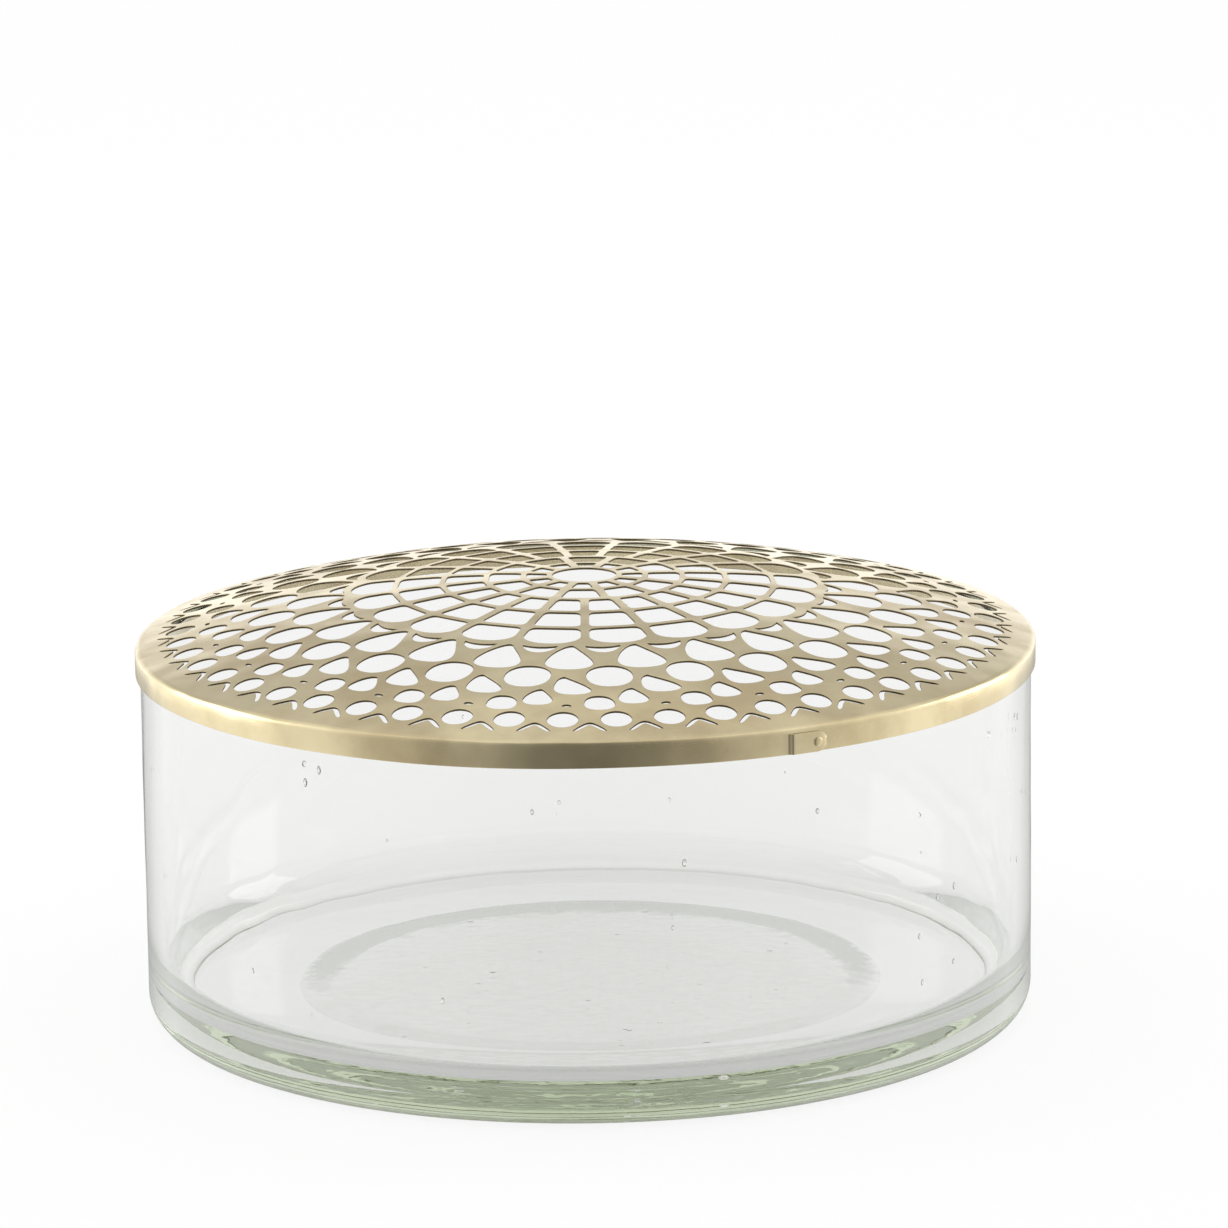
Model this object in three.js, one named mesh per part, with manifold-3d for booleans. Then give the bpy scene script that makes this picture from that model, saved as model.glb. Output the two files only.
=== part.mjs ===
// Low round flower vase: a thick glass vessel under a domed, pierced brass lid that lifts off.
// Millimetres, +Z up. The origin is on the table under the middle of the vessel, and the front faces -Y.
import * as THREE from "three";
import Module from "manifold-3d";
import { mergeVertices } from "three/addons/utils/BufferGeometryUtils.js";

// Glass vessel
const vesselRadius = 104.6;
const vesselHeight = 89.4;
const vesselWall = 4.3;
const vesselFloor = 9;
const heelRadius = 7;
const innerCornerRadius = 10;
const baseRecessRadius = 69;
const baseRecessDepth = 1.2;
const baseRecessSlope = 3;

// Brass lid: sheet, dome and skirt
const sheet = 0.5;
const slipClearance = 0.6;
const seatClearance = 0.3;
const solderGap = 0.1;
const domeRise = 15;
const skirtDrop = 5.8;

// Lapped seam of the skirt and its rivet
const seamAngle = degrees(25);
const joggleLength = 1.2;
const lapLength = 8.4;
const lapGap = 0.15;
const lapStartGap = 0.3;
const rivetHeadRadius = 1.1;
const rivetHeadHeight = 0.4;
const rivetShankRadius = 0.6;
const rivetClearance = 0.1;

// Pierced rosette, ring by ring from the edge to the middle
const web = 1.15;
const plainBorder = 7.1;
const edgeHoleRadius = 3.6;
const edgeHolePitch = 11.9;
const highHoleRadius = 3.6;
const lowHoleRadius = 3.5;
const petalHalfWidth = 4.2;
const petalHalfLength = 4.6;
const petalPoint = 0.32;
const petalLean = -1.8;
const largeHoleRadius = 5.6;
const dropHalfWidth = 4.9;
const dropHalfLength = 6.9;
const dropPoint = 0.5;
const moonHalfWidth = 4.1;
const moonHeight = 4.1;
const moonBow = 1;
const archHeight = 10;
const archPitch = 13.5;
const archSpring = 0.4;
const spokeWidth = 1.8;
const ringWidth = 1.15;
const webRowPitch = 9;
const webGrowth = 1.28;
const innerSpokes = 12;
const innerSpokeTurn = degrees(12.8);
const middleHoleRadius = 7.6;

// Where each hole of a repeat stands, as shares of the repeat's angle to the right of the front
const largeHoleTurn = 0.28;
const highHoleTurn = 0.14;
const lowHoleTurn = 0.5;
const petalTurn = 0.845;
const dropTurn = 0.78;

// Facets
const vesselSegments = 64;
const skirtSegments = 96;
const cornerSteps = 2;
const roundSides = 8;
const largeSides = 10;
const middleSides = 24;
const rivetSides = 16;
const endSteps = 4;
const arcStep = degrees(20);
const roundOff = 1e-6;
const mergeTolerance = 1e-4;

// Sizes that follow from the ones above
const rimRadius = vesselWall / 2;
const rimCentreRadius = vesselRadius - rimRadius;
const innerRadius = vesselRadius - vesselWall;
const lidRadius = vesselRadius + slipClearance + sheet;
const sphereRadius = (lidRadius ** 2 + domeRise ** 2) / (2 * domeRise);
const rimSlope = rimCentreRadius / Math.sqrt(sphereRadius ** 2 - rimCentreRadius ** 2);
const rimToUnderside = (rimRadius + seatClearance) * Math.hypot(1, rimSlope);
const foldHeight = vesselHeight - rimRadius + rimToUnderside + sheet - domeHeight(rimCentreRadius);

const wasm = await Module();
wasm.setup();

function degrees(angle) {
  return THREE.MathUtils.degToRad(angle);
}

// Height of the dome's upper face over the fold line, on a sphere through the fold.
function domeHeight(radius) {
  return Math.sqrt(sphereRadius ** 2 - radius ** 2) - (sphereRadius - domeRise);
}

// A plan point at a radius and an angle counted from the front towards the right.
function planPoint(radius, angle) {
  return new THREE.Vector2(radius * Math.sin(angle), -radius * Math.cos(angle));
}

// The vessel's half section, from the middle of its underside round the rim to the middle of its floor.
function vesselGeometry() {
  const section = new THREE.Path();
  section.moveTo(0, baseRecessDepth);
  section.lineTo(baseRecessRadius - baseRecessSlope, baseRecessDepth);
  section.lineTo(baseRecessRadius, 0);
  section.lineTo(vesselRadius - heelRadius, 0);
  section.absarc(vesselRadius - heelRadius, heelRadius, heelRadius, -Math.PI / 2, 0, false);
  section.lineTo(vesselRadius, vesselHeight - rimRadius);
  section.absarc(rimCentreRadius, vesselHeight - rimRadius, rimRadius, 0, Math.PI, false);
  section.lineTo(innerRadius, vesselFloor + innerCornerRadius);
  section.absarc(
    innerRadius - innerCornerRadius,
    vesselFloor + innerCornerRadius,
    innerCornerRadius,
    0,
    -Math.PI / 2,
    true,
  );
  section.lineTo(0, vesselFloor);
  const geometry = new THREE.LatheGeometry(section.getPoints(cornerSteps), vesselSegments);
  return geometry.rotateX(Math.PI / 2);
}

// An egg-shaped hole. Its point draws in the end nearer the middle, and its lean pushes that end sideways.
function eggHole(radius, angle, { halfWidth, halfLength, point = 0, lean = 0 }, sides) {
  const centre = planPoint(radius, angle);
  const outward = planPoint(1, angle);
  const across = planPoint(1, angle + Math.PI / 2);
  const points = [];
  for (let i = 0; i < sides; i++) {
    const t = (2 * Math.PI * i) / sides;
    const inwards = (1 - Math.cos(t)) / 2;
    const sideways = halfWidth * Math.sin(t) * (1 + point * Math.cos(t)) + lean * inwards ** 2;
    const along = halfLength * Math.cos(t);
    points.push(centre.clone().addScaledVector(across, sideways).addScaledVector(outward, along));
  }
  return points;
}

function roundHole(radius, angle, holeRadius, sides) {
  return eggHole(radius, angle, { halfWidth: holeRadius, halfLength: holeRadius }, sides);
}

// A half-moon hole: an arched outer edge over a flatter inner edge.
function moonHole(innerEdge, angle) {
  const centre = planPoint(innerEdge, angle);
  const outward = planPoint(1, angle);
  const across = planPoint(1, angle + Math.PI / 2);
  const place = (share, height) =>
    centre
      .clone()
      .addScaledVector(across, share * moonHalfWidth)
      .addScaledVector(outward, height * (1 - share ** 2));
  const points = [];
  for (let i = 0; i < 2 * cornerSteps; i++) {
    points.push(place(1 - i / cornerSteps, moonHeight));
  }
  for (let i = 0; i < cornerSteps; i++) {
    points.push(place((2 * i) / cornerSteps - 1, moonBow));
  }
  return points;
}

// Points on a circle from one angle to another, close enough together to look round.
function arcPoints(radius, from, to) {
  const steps = Math.ceil(Math.abs(to - from) / arcStep);
  return Array.from({ length: steps + 1 }, (_, i) =>
    planPoint(radius, THREE.MathUtils.lerp(from, to, i / steps)),
  );
}

// Half the angle of a cell between two spokes of even width, at a radius.
function halfCell(count, radius) {
  return Math.PI / count - spokeWidth / 2 / radius;
}

// A web cell between two spokes and two rings.
function webCell(innerEdge, outerEdge, angle, count) {
  const low = halfCell(count, innerEdge);
  const high = halfCell(count, outerEdge);
  return [
    ...arcPoints(innerEdge, angle - low, angle + low),
    ...arcPoints(outerEdge, angle + high, angle - high),
  ];
}

// An arched cell: its foot lies on a ring, its sides follow two spokes, and its top is half an ellipse.
function archCell(innerEdge, angle, count) {
  const spring = innerEdge + archHeight * archSpring;
  const foot = halfCell(count, innerEdge);
  const shoulder = halfCell(count, spring);
  const points = arcPoints(innerEdge, angle - foot, angle + foot);
  for (let i = 0; i <= roundSides / 2; i++) {
    const t = (2 * Math.PI * i) / roundSides;
    const radius = spring + (innerEdge + archHeight - spring) * Math.sin(t);
    points.push(planPoint(radius, angle + shoulder * Math.cos(t)));
  }
  return points;
}

// The radius of a ring whose holes clear those of the ring outside it by one web, turned by an angle.
function ringInside(outerRadius, outerReach, reach, turn) {
  const apart = outerReach + reach + web;
  const chord = outerRadius * Math.sin(turn);
  return outerRadius * Math.cos(turn) - Math.sqrt(Math.max(apart ** 2 - chord ** 2, 0));
}

// Calls make(angle) at each step of a ring, with the first step turned from the front.
function ring(count, turn, make) {
  return Array.from({ length: count }, (_, i) => make(turn + (2 * Math.PI * i) / count));
}

// All holes of the rosette: rings of round, egg and half-moon holes round a web of arched and plain cells.
function rosetteHoles() {
  const edgeRing = lidRadius - plainBorder - edgeHoleRadius;
  const repeats = Math.round((Math.PI * edgeRing) / edgeHolePitch);
  const repeat = (2 * Math.PI) / repeats;
  const highRing = ringInside(
    edgeRing,
    edgeHoleRadius,
    highHoleRadius,
    (largeHoleTurn - highHoleTurn) * repeat,
  );
  const lowRing = ringInside(highRing, highHoleRadius, lowHoleRadius, (lowHoleTurn - highHoleTurn) * repeat);
  const petalRing = Math.min(
    ringInside(highRing, highHoleRadius, petalHalfLength, (1 + highHoleTurn - petalTurn) * repeat),
    ringInside(lowRing, lowHoleRadius, petalHalfLength, (petalTurn - lowHoleTurn) * repeat),
  );
  const petalNeck = petalHalfWidth * (1 - petalPoint);
  const largeRing = Math.min(
    ringInside(petalRing, petalNeck, largeHoleRadius, (1 + largeHoleTurn - petalTurn) * repeat),
    ringInside(lowRing, lowHoleRadius, largeHoleRadius, (lowHoleTurn - largeHoleTurn) * repeat),
  );
  const dropRing = ringInside(
    largeRing,
    largeHoleRadius,
    dropHalfLength,
    (dropTurn - largeHoleTurn) * repeat,
  );
  const moonEdge = dropRing - dropHalfLength;
  const archEdge = moonEdge - web - archHeight;
  const arches = Math.round((2 * Math.PI * archEdge) / archPitch);
  const cell = (2 * Math.PI) / arches;
  const petal = {
    halfWidth: petalHalfWidth,
    halfLength: petalHalfLength,
    point: petalPoint,
    lean: petalLean,
  };
  const drop = { halfWidth: dropHalfWidth, halfLength: dropHalfLength, point: dropPoint };
  return [
    ...ring(2 * repeats, largeHoleTurn * repeat, (a) => roundHole(edgeRing, a, edgeHoleRadius, roundSides)),
    ...ring(repeats, highHoleTurn * repeat, (a) => roundHole(highRing, a, highHoleRadius, roundSides)),
    ...ring(repeats, lowHoleTurn * repeat, (a) => roundHole(lowRing, a, lowHoleRadius, roundSides)),
    ...ring(repeats, petalTurn * repeat, (a) => eggHole(petalRing, a, petal, roundSides)),
    ...ring(repeats, largeHoleTurn * repeat, (a) => roundHole(largeRing, a, largeHoleRadius, largeSides)),
    ...ring(repeats, dropTurn * repeat, (a) => eggHole(dropRing, a, drop, roundSides)),
    ...ring(repeats, largeHoleTurn * repeat, (a) => moonHole(moonEdge, a)),
    ...ring(arches, cell / 2, (a) => archCell(archEdge, a, arches)),
    ...webHoles(archEdge - ringWidth, arches),
    roundHole(0, 0, middleHoleRadius, middleSides),
  ];
}

// Rows of web cells between the middle hole and the arched cells, taller towards the outside.
function webHoles(outerEdge, outerSpokes) {
  const start = middleHoleRadius + ringWidth;
  const span = outerEdge + ringWidth - start;
  const rows = Math.max(1, Math.round(span / webRowPitch));
  const edge = (row) => start + span * (row / rows) ** webGrowth;
  const holes = [];
  for (let row = 0; row < rows; row++) {
    const inner = edge(row);
    const outer = edge(row + 1) - ringWidth;
    const count = row < rows / 2 ? innerSpokes : outerSpokes;
    const spokeTurn = row < rows / 2 ? innerSpokeTurn : 0;
    holes.push(...ring(count, spokeTurn + Math.PI / count, (a) => webCell(inner, outer, a, count)));
  }
  return holes;
}

// True where point d lies inside the circle through a, b and c, which run anticlockwise.
function insideCircle(a, b, c, d) {
  const [u, v, w] = [a, b, c].map((corner) => corner.clone().sub(d));
  const turn = u.lengthSq() * v.cross(w) + v.lengthSq() * w.cross(u) + w.lengthSq() * u.cross(v);
  return turn > roundOff;
}

// Triangles of the flat sheet between its edge and its holes. Diagonals are swapped while that makes rounder
// triangles, so that each is short and lies close to the dome once it is raised.
function sheetTriangles(points, edge, holes) {
  const triangles = THREE.ShapeUtils.triangulateShape(edge, holes);
  const key = (from, to) => from * points.length + to;
  const owner = new Map();
  const claim = (index, corners) => {
    triangles[index] = corners;
    corners.forEach((corner, i) => owner.set(key(corner, corners[(i + 1) % 3]), index));
  };
  triangles.forEach((corners, index) => claim(index, corners));
  const opposite = (index, from, to) => triangles[index].find((corner) => corner !== from && corner !== to);
  const pending = [...owner.keys()];
  while (pending.length) {
    const next = pending.pop();
    const from = Math.floor(next / points.length);
    const to = next % points.length;
    const left = owner.get(next);
    const right = owner.get(key(to, from));
    if (left === undefined || right === undefined) continue;
    const far = opposite(left, from, to);
    const near = opposite(right, from, to);
    if (!insideCircle(points[from], points[to], points[far], points[near])) continue;
    owner.delete(next);
    owner.delete(key(to, from));
    claim(left, [from, near, far]);
    claim(right, [near, to, far]);
    pending.push(key(from, near), key(near, to), key(to, far), key(far, from));
  }
  const outline = [...owner.keys()]
    .map((edgeKey) => [Math.floor(edgeKey / points.length), edgeKey % points.length])
    .filter(([from, to]) => !owner.has(key(to, from)));
  return { triangles, outline };
}

// The pierced sheet, laid out flat and raised on the dome. Its fold line is at height 0.
function domeGeometry() {
  const edge = ring(skirtSegments, 0, (a) => planPoint(lidRadius, a));
  const holes = rosetteHoles();
  const points = [edge, ...holes].flat();
  const { triangles, outline } = sheetTriangles(points, edge, holes);
  const lower = points.length;
  const faces = triangles.flatMap(([a, b, c]) => [a, b, c, lower + a, lower + c, lower + b]);
  const walls = outline.flatMap(([a, b]) => [lower + a, lower + b, b, lower + a, b, a]);
  const heights = points.map((point) => domeHeight(point.length()));
  const upperFace = points.flatMap((point, i) => [point.x, point.y, heights[i]]);
  const lowerFace = points.flatMap((point, i) => [point.x, point.y, heights[i] - sheet]);
  return closedGeometry([...upperFace, ...lowerFace], [...faces, ...walls]);
}

function closedGeometry(vertices, index) {
  const geometry = new THREE.BufferGeometry();
  geometry.setAttribute("position", new THREE.Float32BufferAttribute(vertices, 3));
  geometry.setIndex(index);
  geometry.computeVertexNormals();
  return geometry;
}

// The skirt's seam: where the lap starts, and where its round end is centred.
const lapOffset = sheet + lapGap;
const stripHeight = skirtDrop - sheet - solderGap;
const stripMiddle = -sheet - solderGap - stripHeight / 2;
const lapStart = seamAngle + joggleLength / lidRadius;
const lapEndCentre = lapStart + (lapLength - stripHeight / 2) / lidRadius;

// The strip's stations: angle, how far it is joggled outwards, and its share of the full height.
function stripStations() {
  const turn = 2 * Math.PI;
  const start = lapStart + lapStartGap / lidRadius;
  const run = seamAngle + turn - start;
  const stations = [];
  for (let i = 0; i <= skirtSegments; i++) {
    stations.push({ angle: start + (run * i) / skirtSegments, offset: 0, share: 1 });
  }
  for (let i = 0; i <= cornerSteps; i++) {
    const angle = THREE.MathUtils.lerp(lapStart, lapEndCentre, i / cornerSteps) + turn;
    stations.push({ angle, offset: lapOffset, share: 1 });
  }
  for (let i = 1; i <= endSteps; i++) {
    const t = (Math.PI / 2) * (i / (endSteps + 1));
    const angle = lapEndCentre + ((stripHeight / 2) * Math.sin(t)) / lidRadius + turn;
    stations.push({ angle, offset: lapOffset, share: Math.cos(t) });
  }
  return stations;
}

// The strip as a closed sweep of four corners from station to station, its top under the dome's edge.
function stripGeometry() {
  const vertices = [];
  const stations = stripStations();
  const undersideRise = domeHeight(lidRadius - sheet);
  for (const { angle, offset, share } of stations) {
    const outer = planPoint(lidRadius + offset, angle);
    const inner = planPoint(lidRadius - sheet + offset, angle);
    const half = (share * stripHeight) / 2;
    const innerTop = offset ? half : half + undersideRise;
    vertices.push(outer.x, outer.y, stripMiddle - half);
    vertices.push(outer.x, outer.y, stripMiddle + half);
    vertices.push(inner.x, inner.y, stripMiddle + innerTop);
    vertices.push(inner.x, inner.y, stripMiddle - half);
  }
  const index = [];
  const last = 4 * (stations.length - 1);
  for (let base = 0; base < last; base += 4) {
    for (let corner = 0; corner < 4; corner++) {
      const a = base + corner;
      const b = base + ((corner + 1) % 4);
      index.push(a, a + 4, b);
      index.push(b, a + 4, b + 4);
    }
  }
  index.push(0, 1, 2, 0, 2, 3);
  index.push(last, last + 2, last + 1, last, last + 3, last + 2);
  return closedGeometry(vertices, index);
}

// The rivet stands on the lap's outer face with its shank through both layers of the strip.
const rivetSeat = lidRadius + lapOffset + rivetClearance;
const rivetShankLength = rivetClearance + lapOffset + sheet / 2;

function rivetGeometry() {
  const section = new THREE.Path();
  section.moveTo(0, -rivetShankLength);
  section.lineTo(rivetShankRadius, -rivetShankLength);
  section.lineTo(rivetShankRadius, 0);
  section.lineTo(rivetHeadRadius, 0);
  section.quadraticCurveTo(rivetHeadRadius, rivetHeadHeight, 0, rivetHeadHeight);
  return new THREE.LatheGeometry(section.getPoints(cornerSteps), rivetSides);
}

// Turns a shape made along +Y to point outwards at the rivet's place on the skirt.
function placeAtRivet(object) {
  const foot = planPoint(rivetSeat, lapEndCentre);
  object.position.set(foot.x, foot.y, stripMiddle);
  object.rotation.z = Math.PI + lapEndCentre;
  object.updateMatrix();
  return object;
}

function toSolid(geometry) {
  const bare = geometry.clone();
  bare.deleteAttribute("normal");
  bare.deleteAttribute("uv");
  const merged = mergeVertices(bare, mergeTolerance);
  return new wasm.Manifold(
    new wasm.Mesh({
      numProp: 3,
      vertProperties: merged.getAttribute("position").array,
      triVerts: new Uint32Array(merged.index.array),
    }),
  );
}

// The strip with the rivet's hole through the lap and the layer under it.
function skirtGeometry() {
  const holeRadius = rivetShankRadius + rivetClearance;
  const holeLength = 2 * (rivetShankLength + sheet);
  const drill = new THREE.CylinderGeometry(holeRadius, holeRadius, holeLength, rivetSides);
  const place = placeAtRivet(new THREE.Object3D());
  const cut = toSolid(stripGeometry()).subtract(toSolid(drill.applyMatrix4(place.matrix))).getMesh();
  return closedGeometry(cut.vertProperties, [...cut.triVerts]);
}

// Assembly
const glass = new THREE.MeshStandardMaterial({
  color: 0xe6ede6,
  roughness: 0.04,
  metalness: 0,
  transparent: true,
  opacity: 0.35,
});
const brass = new THREE.MeshStandardMaterial({ color: 0xd6bf8a, roughness: 0.32, metalness: 1 });

function namedMesh(name, geometry, material) {
  const mesh = new THREE.Mesh(geometry, material);
  mesh.name = name;
  return mesh;
}

const lid = new THREE.Group();
lid.name = "lid";
lid.position.z = foldHeight;
lid.add(namedMesh("lid_dome", domeGeometry(), brass));
lid.add(namedMesh("lid_skirt", skirtGeometry(), brass));
lid.add(placeAtRivet(namedMesh("seam_rivet", rivetGeometry(), brass)));

const vase = new THREE.Group();
vase.name = "lidded_vase";
vase.add(namedMesh("glass_vessel", vesselGeometry(), glass));
vase.add(lid);

export default vase;
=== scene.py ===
"""Low glass flower vase with a domed, pierced brass lid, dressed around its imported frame.

Lengths are metres. Angles round the vase are counted from the front, which faces -Y, towards the right.
"""

import logging
import math
from dataclasses import dataclass
from enum import Enum
from typing import ClassVar

import bpy
import numpy as np
from mathutils import Matrix, Vector
from mathutils.geometry import delaunay_2d_cdt


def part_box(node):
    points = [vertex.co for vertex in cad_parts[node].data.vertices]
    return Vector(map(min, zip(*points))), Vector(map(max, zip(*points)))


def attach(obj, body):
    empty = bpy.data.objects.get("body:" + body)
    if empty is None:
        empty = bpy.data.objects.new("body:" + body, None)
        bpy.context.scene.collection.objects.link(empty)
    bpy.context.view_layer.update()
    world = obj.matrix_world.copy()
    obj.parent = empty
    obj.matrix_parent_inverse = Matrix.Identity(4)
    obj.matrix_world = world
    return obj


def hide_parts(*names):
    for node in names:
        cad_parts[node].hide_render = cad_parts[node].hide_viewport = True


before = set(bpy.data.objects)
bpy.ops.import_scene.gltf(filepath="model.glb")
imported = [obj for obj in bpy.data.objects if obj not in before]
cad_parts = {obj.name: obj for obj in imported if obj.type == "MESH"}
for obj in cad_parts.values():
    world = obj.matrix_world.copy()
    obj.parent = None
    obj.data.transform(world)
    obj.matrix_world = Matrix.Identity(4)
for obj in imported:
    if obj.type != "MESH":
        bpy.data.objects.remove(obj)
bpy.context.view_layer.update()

MM = 0.001
TURN = 2 * math.pi
IMAGE_SIDE = 1228

Array = np.ndarray
Material = bpy.types.Material
Object = bpy.types.Object
Socket = bpy.types.NodeSocket
Pair = tuple[float, float]
Triple = tuple[float, float, float]
Quad = tuple[float, float, float, float]
Stops = tuple[Pair, ...]
Surface = tuple[Array, Array]
Waves = tuple[Quad, ...]

log = logging.getLogger("lidded_vase")


class Body(Enum):
    """The bodies of the frame that pieces ride on."""

    VESSEL = "vessel"
    LID = "lid"


class Slot(Enum):
    """The record's material slots."""

    GLASS = "clear_glass"
    BRASS = "lid_brass"


# Mesh helpers


def mesh_object(name: str, vertices: Array, triangles: Array) -> Object:
    """Make a smooth-shaded mesh object at the origin from whole arrays.

    Args:
        name: The piece's name.
        vertices: Points, one row of x, y, z each.
        triangles: Corner indices, one row of three each, anticlockwise from outside.

    Returns:
        The linked object.
    """
    mesh = bpy.data.meshes.new(name)
    mesh.vertices.add(len(vertices))
    mesh.vertices.foreach_set("co", np.asarray(vertices, np.float32).ravel())
    mesh.loops.add(triangles.size)
    mesh.loops.foreach_set("vertex_index", np.asarray(triangles, np.int32).ravel())
    mesh.polygons.add(len(triangles))
    mesh.polygons.foreach_set("loop_start", np.arange(0, triangles.size, 3, dtype=np.int32))
    mesh.polygons.foreach_set("use_smooth", np.ones(len(triangles), bool))
    mesh.update(calc_edges=True)
    mesh.validate()
    piece = bpy.data.objects.new(name, mesh)
    bpy.context.scene.collection.objects.link(piece)
    return piece


def quads_to_triangles(quads: Array) -> Array:
    """Split each quad, given as four corner indices, into two triangles."""
    return np.concatenate([quads[:, [0, 1, 2]], quads[:, [0, 2, 3]]])


def grid_quads(rows: int, columns: int, wrap: bool) -> Array:
    """Number the corners of a grid's quads.

    Args:
        rows: Number of points along the first parameter.
        columns: Number of points along the second parameter.
        wrap: True where the last column joins the first.

    Returns:
        One row of four indices for each quad, with points numbered row by row.
    """
    row, column = np.meshgrid(np.arange(rows - 1), np.arange(columns - (not wrap)), indexing="ij")
    here, after = row * columns + column, row * columns + (column + 1) % columns
    return np.stack([here, after, after + columns, here + columns], -1).reshape(-1, 4)


def fan(centre: int, first: int, count: int) -> Array:
    """Triangles from a centre point to each step round a closed row of points, by their indices."""
    step = np.arange(count)
    return np.stack([np.full(count, centre), first + step, first + (step + 1) % count], -1)


def around(count: int) -> Array:
    """Angles of even steps round a full turn."""
    return np.arange(count) * TURN / count


def arc(centre: Pair, radius: float, start: float, end: float, count: int) -> Array:
    """Points on an arc between two angles in degrees, as rows of two coordinates."""
    angle = np.radians(np.linspace(start, end, count))
    return np.array(centre) + radius * np.stack([np.cos(angle), np.sin(angle)], -1)


def plan(radius: Array | float, angle: Array) -> Array:
    """Plan points x, y at a radius and an angle from the front towards the right."""
    return np.stack([radius * np.sin(angle), -radius * np.cos(angle)], -1)


def bent(value: Array, power: Array | float) -> Array:
    """Raise the size of each value to a power and keep its sign."""
    return np.sign(value) * np.abs(value) ** power


def ease(share: Array) -> Array:
    """Ease a share from 0 to 1 at both ends."""
    return share * share * (3 - 2 * share)


def waves(table: Waves, angle: Array, place: Array | float) -> Array:
    """Sum of amplitude * sin(lobes * angle + climb * place + phase) over the rows of a table."""
    amplitude, lobes, climb, phase = np.array(table, float).T[..., None]
    return (amplitude * np.sin(lobes * angle + climb * place + phase)).sum(0)


def run(outlines: Array, clockwise: bool) -> Array:
    """Make alike outlines run one way round.

    Args:
        outlines: Closed outlines of shape (count, points, 2), which all run the same way.
        clockwise: True for clockwise outlines.

    Returns:
        The outlines, reversed where they ran the other way.
    """
    first, after = outlines[0], np.roll(outlines[0], -1, 0)
    area = np.sum(first[:, 0] * after[:, 1] - first[:, 1] * after[:, 0])
    return outlines[:, ::-1] if (area > 0) == clockwise else outlines


def lathe(section: Array, columns: int) -> Surface:
    """Turn a half section about the upright axis.

    The surface is (radius * cos a, radius * sin a, height) for each section point and each angle a. The
    section starts and ends on the axis, and each of these two ends is one point.

    Args:
        section: Rows of radius and height, running anticlockwise round the solid half section.
        columns: Number of steps round the axis.

    Returns:
        Vertices and triangles.
    """
    angle = around(columns)
    radius, height = section[1:-1, :1], section[1:-1, 1:]
    rows = np.stack([radius * np.cos(angle), radius * np.sin(angle), height + 0 * angle], -1).reshape(-1, 3)
    ends = np.array([[0, 0, section[0, 1]], [0, 0, section[-1, 1]]])
    body = quads_to_triangles(grid_quads(len(radius), columns, True))
    start = fan(len(rows), 0, columns)[:, [0, 2, 1]]
    end = fan(len(rows) + 1, len(rows) - columns, columns)
    return np.concatenate([rows, ends]), np.concatenate([body, start, end])


# Finishes


def grey(level: float) -> Quad:
    """A grey of full opacity."""
    return level, level, level, 1.0


class Graph:
    """A node tree under construction, whose nodes are wired as they are added."""

    def __init__(self, tree: bpy.types.NodeTree) -> None:
        """Take a tree and empty it."""
        self.tree = tree
        tree.nodes.clear()

    def node(self, kind: str, reads: dict | None = None, **settings: object) -> bpy.types.Node:
        """Add a node.

        Args:
            kind: Blender's name of the node type.
            reads: A value, or a socket to link, for each input by its name or number.
            **settings: Properties of the node by name.

        Returns:
            The new node.
        """
        node = self.tree.nodes.new(kind)
        for name, value in settings.items():
            setattr(node, name, value)
        for key, value in (reads or {}).items():
            if isinstance(value, Socket):
                self.tree.links.new(value, node.inputs[key])
            else:
                node.inputs[key].default_value = value
        return node

    def maths(self, operation: str, *reads: float | Socket, clamp: bool = False) -> Socket:
        """Add a Math node, which reads values or sockets in order, and return its result."""
        inputs = dict(enumerate(reads))
        return self.node("ShaderNodeMath", inputs, operation=operation, use_clamp=clamp).outputs[0]

    def vector(self, operation: str, reads: dict) -> Socket:
        """Add a Vector Math node and return its vector."""
        return self.node("ShaderNodeVectorMath", reads, operation=operation).outputs[0]

    def axis(self, vector: Socket, name: str) -> Socket:
        """Add a node that splits a vector and return one of its parts."""
        return self.node("ShaderNodeSeparateXYZ", {0: vector}).outputs[name]

    def mix(self, factor: Socket, first: tuple | Socket, second: tuple | Socket) -> Socket:
        """Add a node that mixes two colours and return its colour."""
        reads = {"Factor": factor, "A": first, "B": second}
        return self.node("ShaderNodeMix", reads, data_type="RGBA").outputs["Result"]

    def span(self, value: Socket, low: float, high: float, shape: str = "LINEAR") -> Socket:
        """Add a node that maps a value to a share from 0 at low to 1 at high, and return it."""
        reads = {"Value": value, "From Min": low, "From Max": high}
        return self.node("ShaderNodeMapRange", reads, interpolation_type=shape).outputs["Result"]

    def noise(self, place: Socket, scale: float, detail: float, roughness: float = 0.5) -> Socket:
        """Add a noise texture read at a place and return its value."""
        reads = {"Vector": place, "Scale": scale, "Detail": detail, "Roughness": roughness}
        return self.node("ShaderNodeTexNoise", reads).outputs["Fac"]

    def ramp(self, share: Socket, stops: Stops) -> Socket:
        """Add a colour ramp of greys.

        Args:
            share: The value that the ramp is read at.
            stops: Rows of position and level.

        Returns:
            The grey.
        """
        ramp = self.node("ShaderNodeValToRGB", {"Fac": share})
        points = ramp.color_ramp.elements
        while len(points) < len(stops):
            points.new(0.5)
        for point, (position, level) in zip(points, stops):
            point.position, point.color = position, grey(level)
        return ramp.outputs["Color"]


def new_material(name: str) -> tuple[Material, Graph]:
    """Make a node material.

    Args:
        name: The material's name.

    Returns:
        The material and its empty graph.
    """
    material = bpy.data.materials.new(name)
    material.use_nodes = True
    return material, Graph(material.node_tree)


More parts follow.
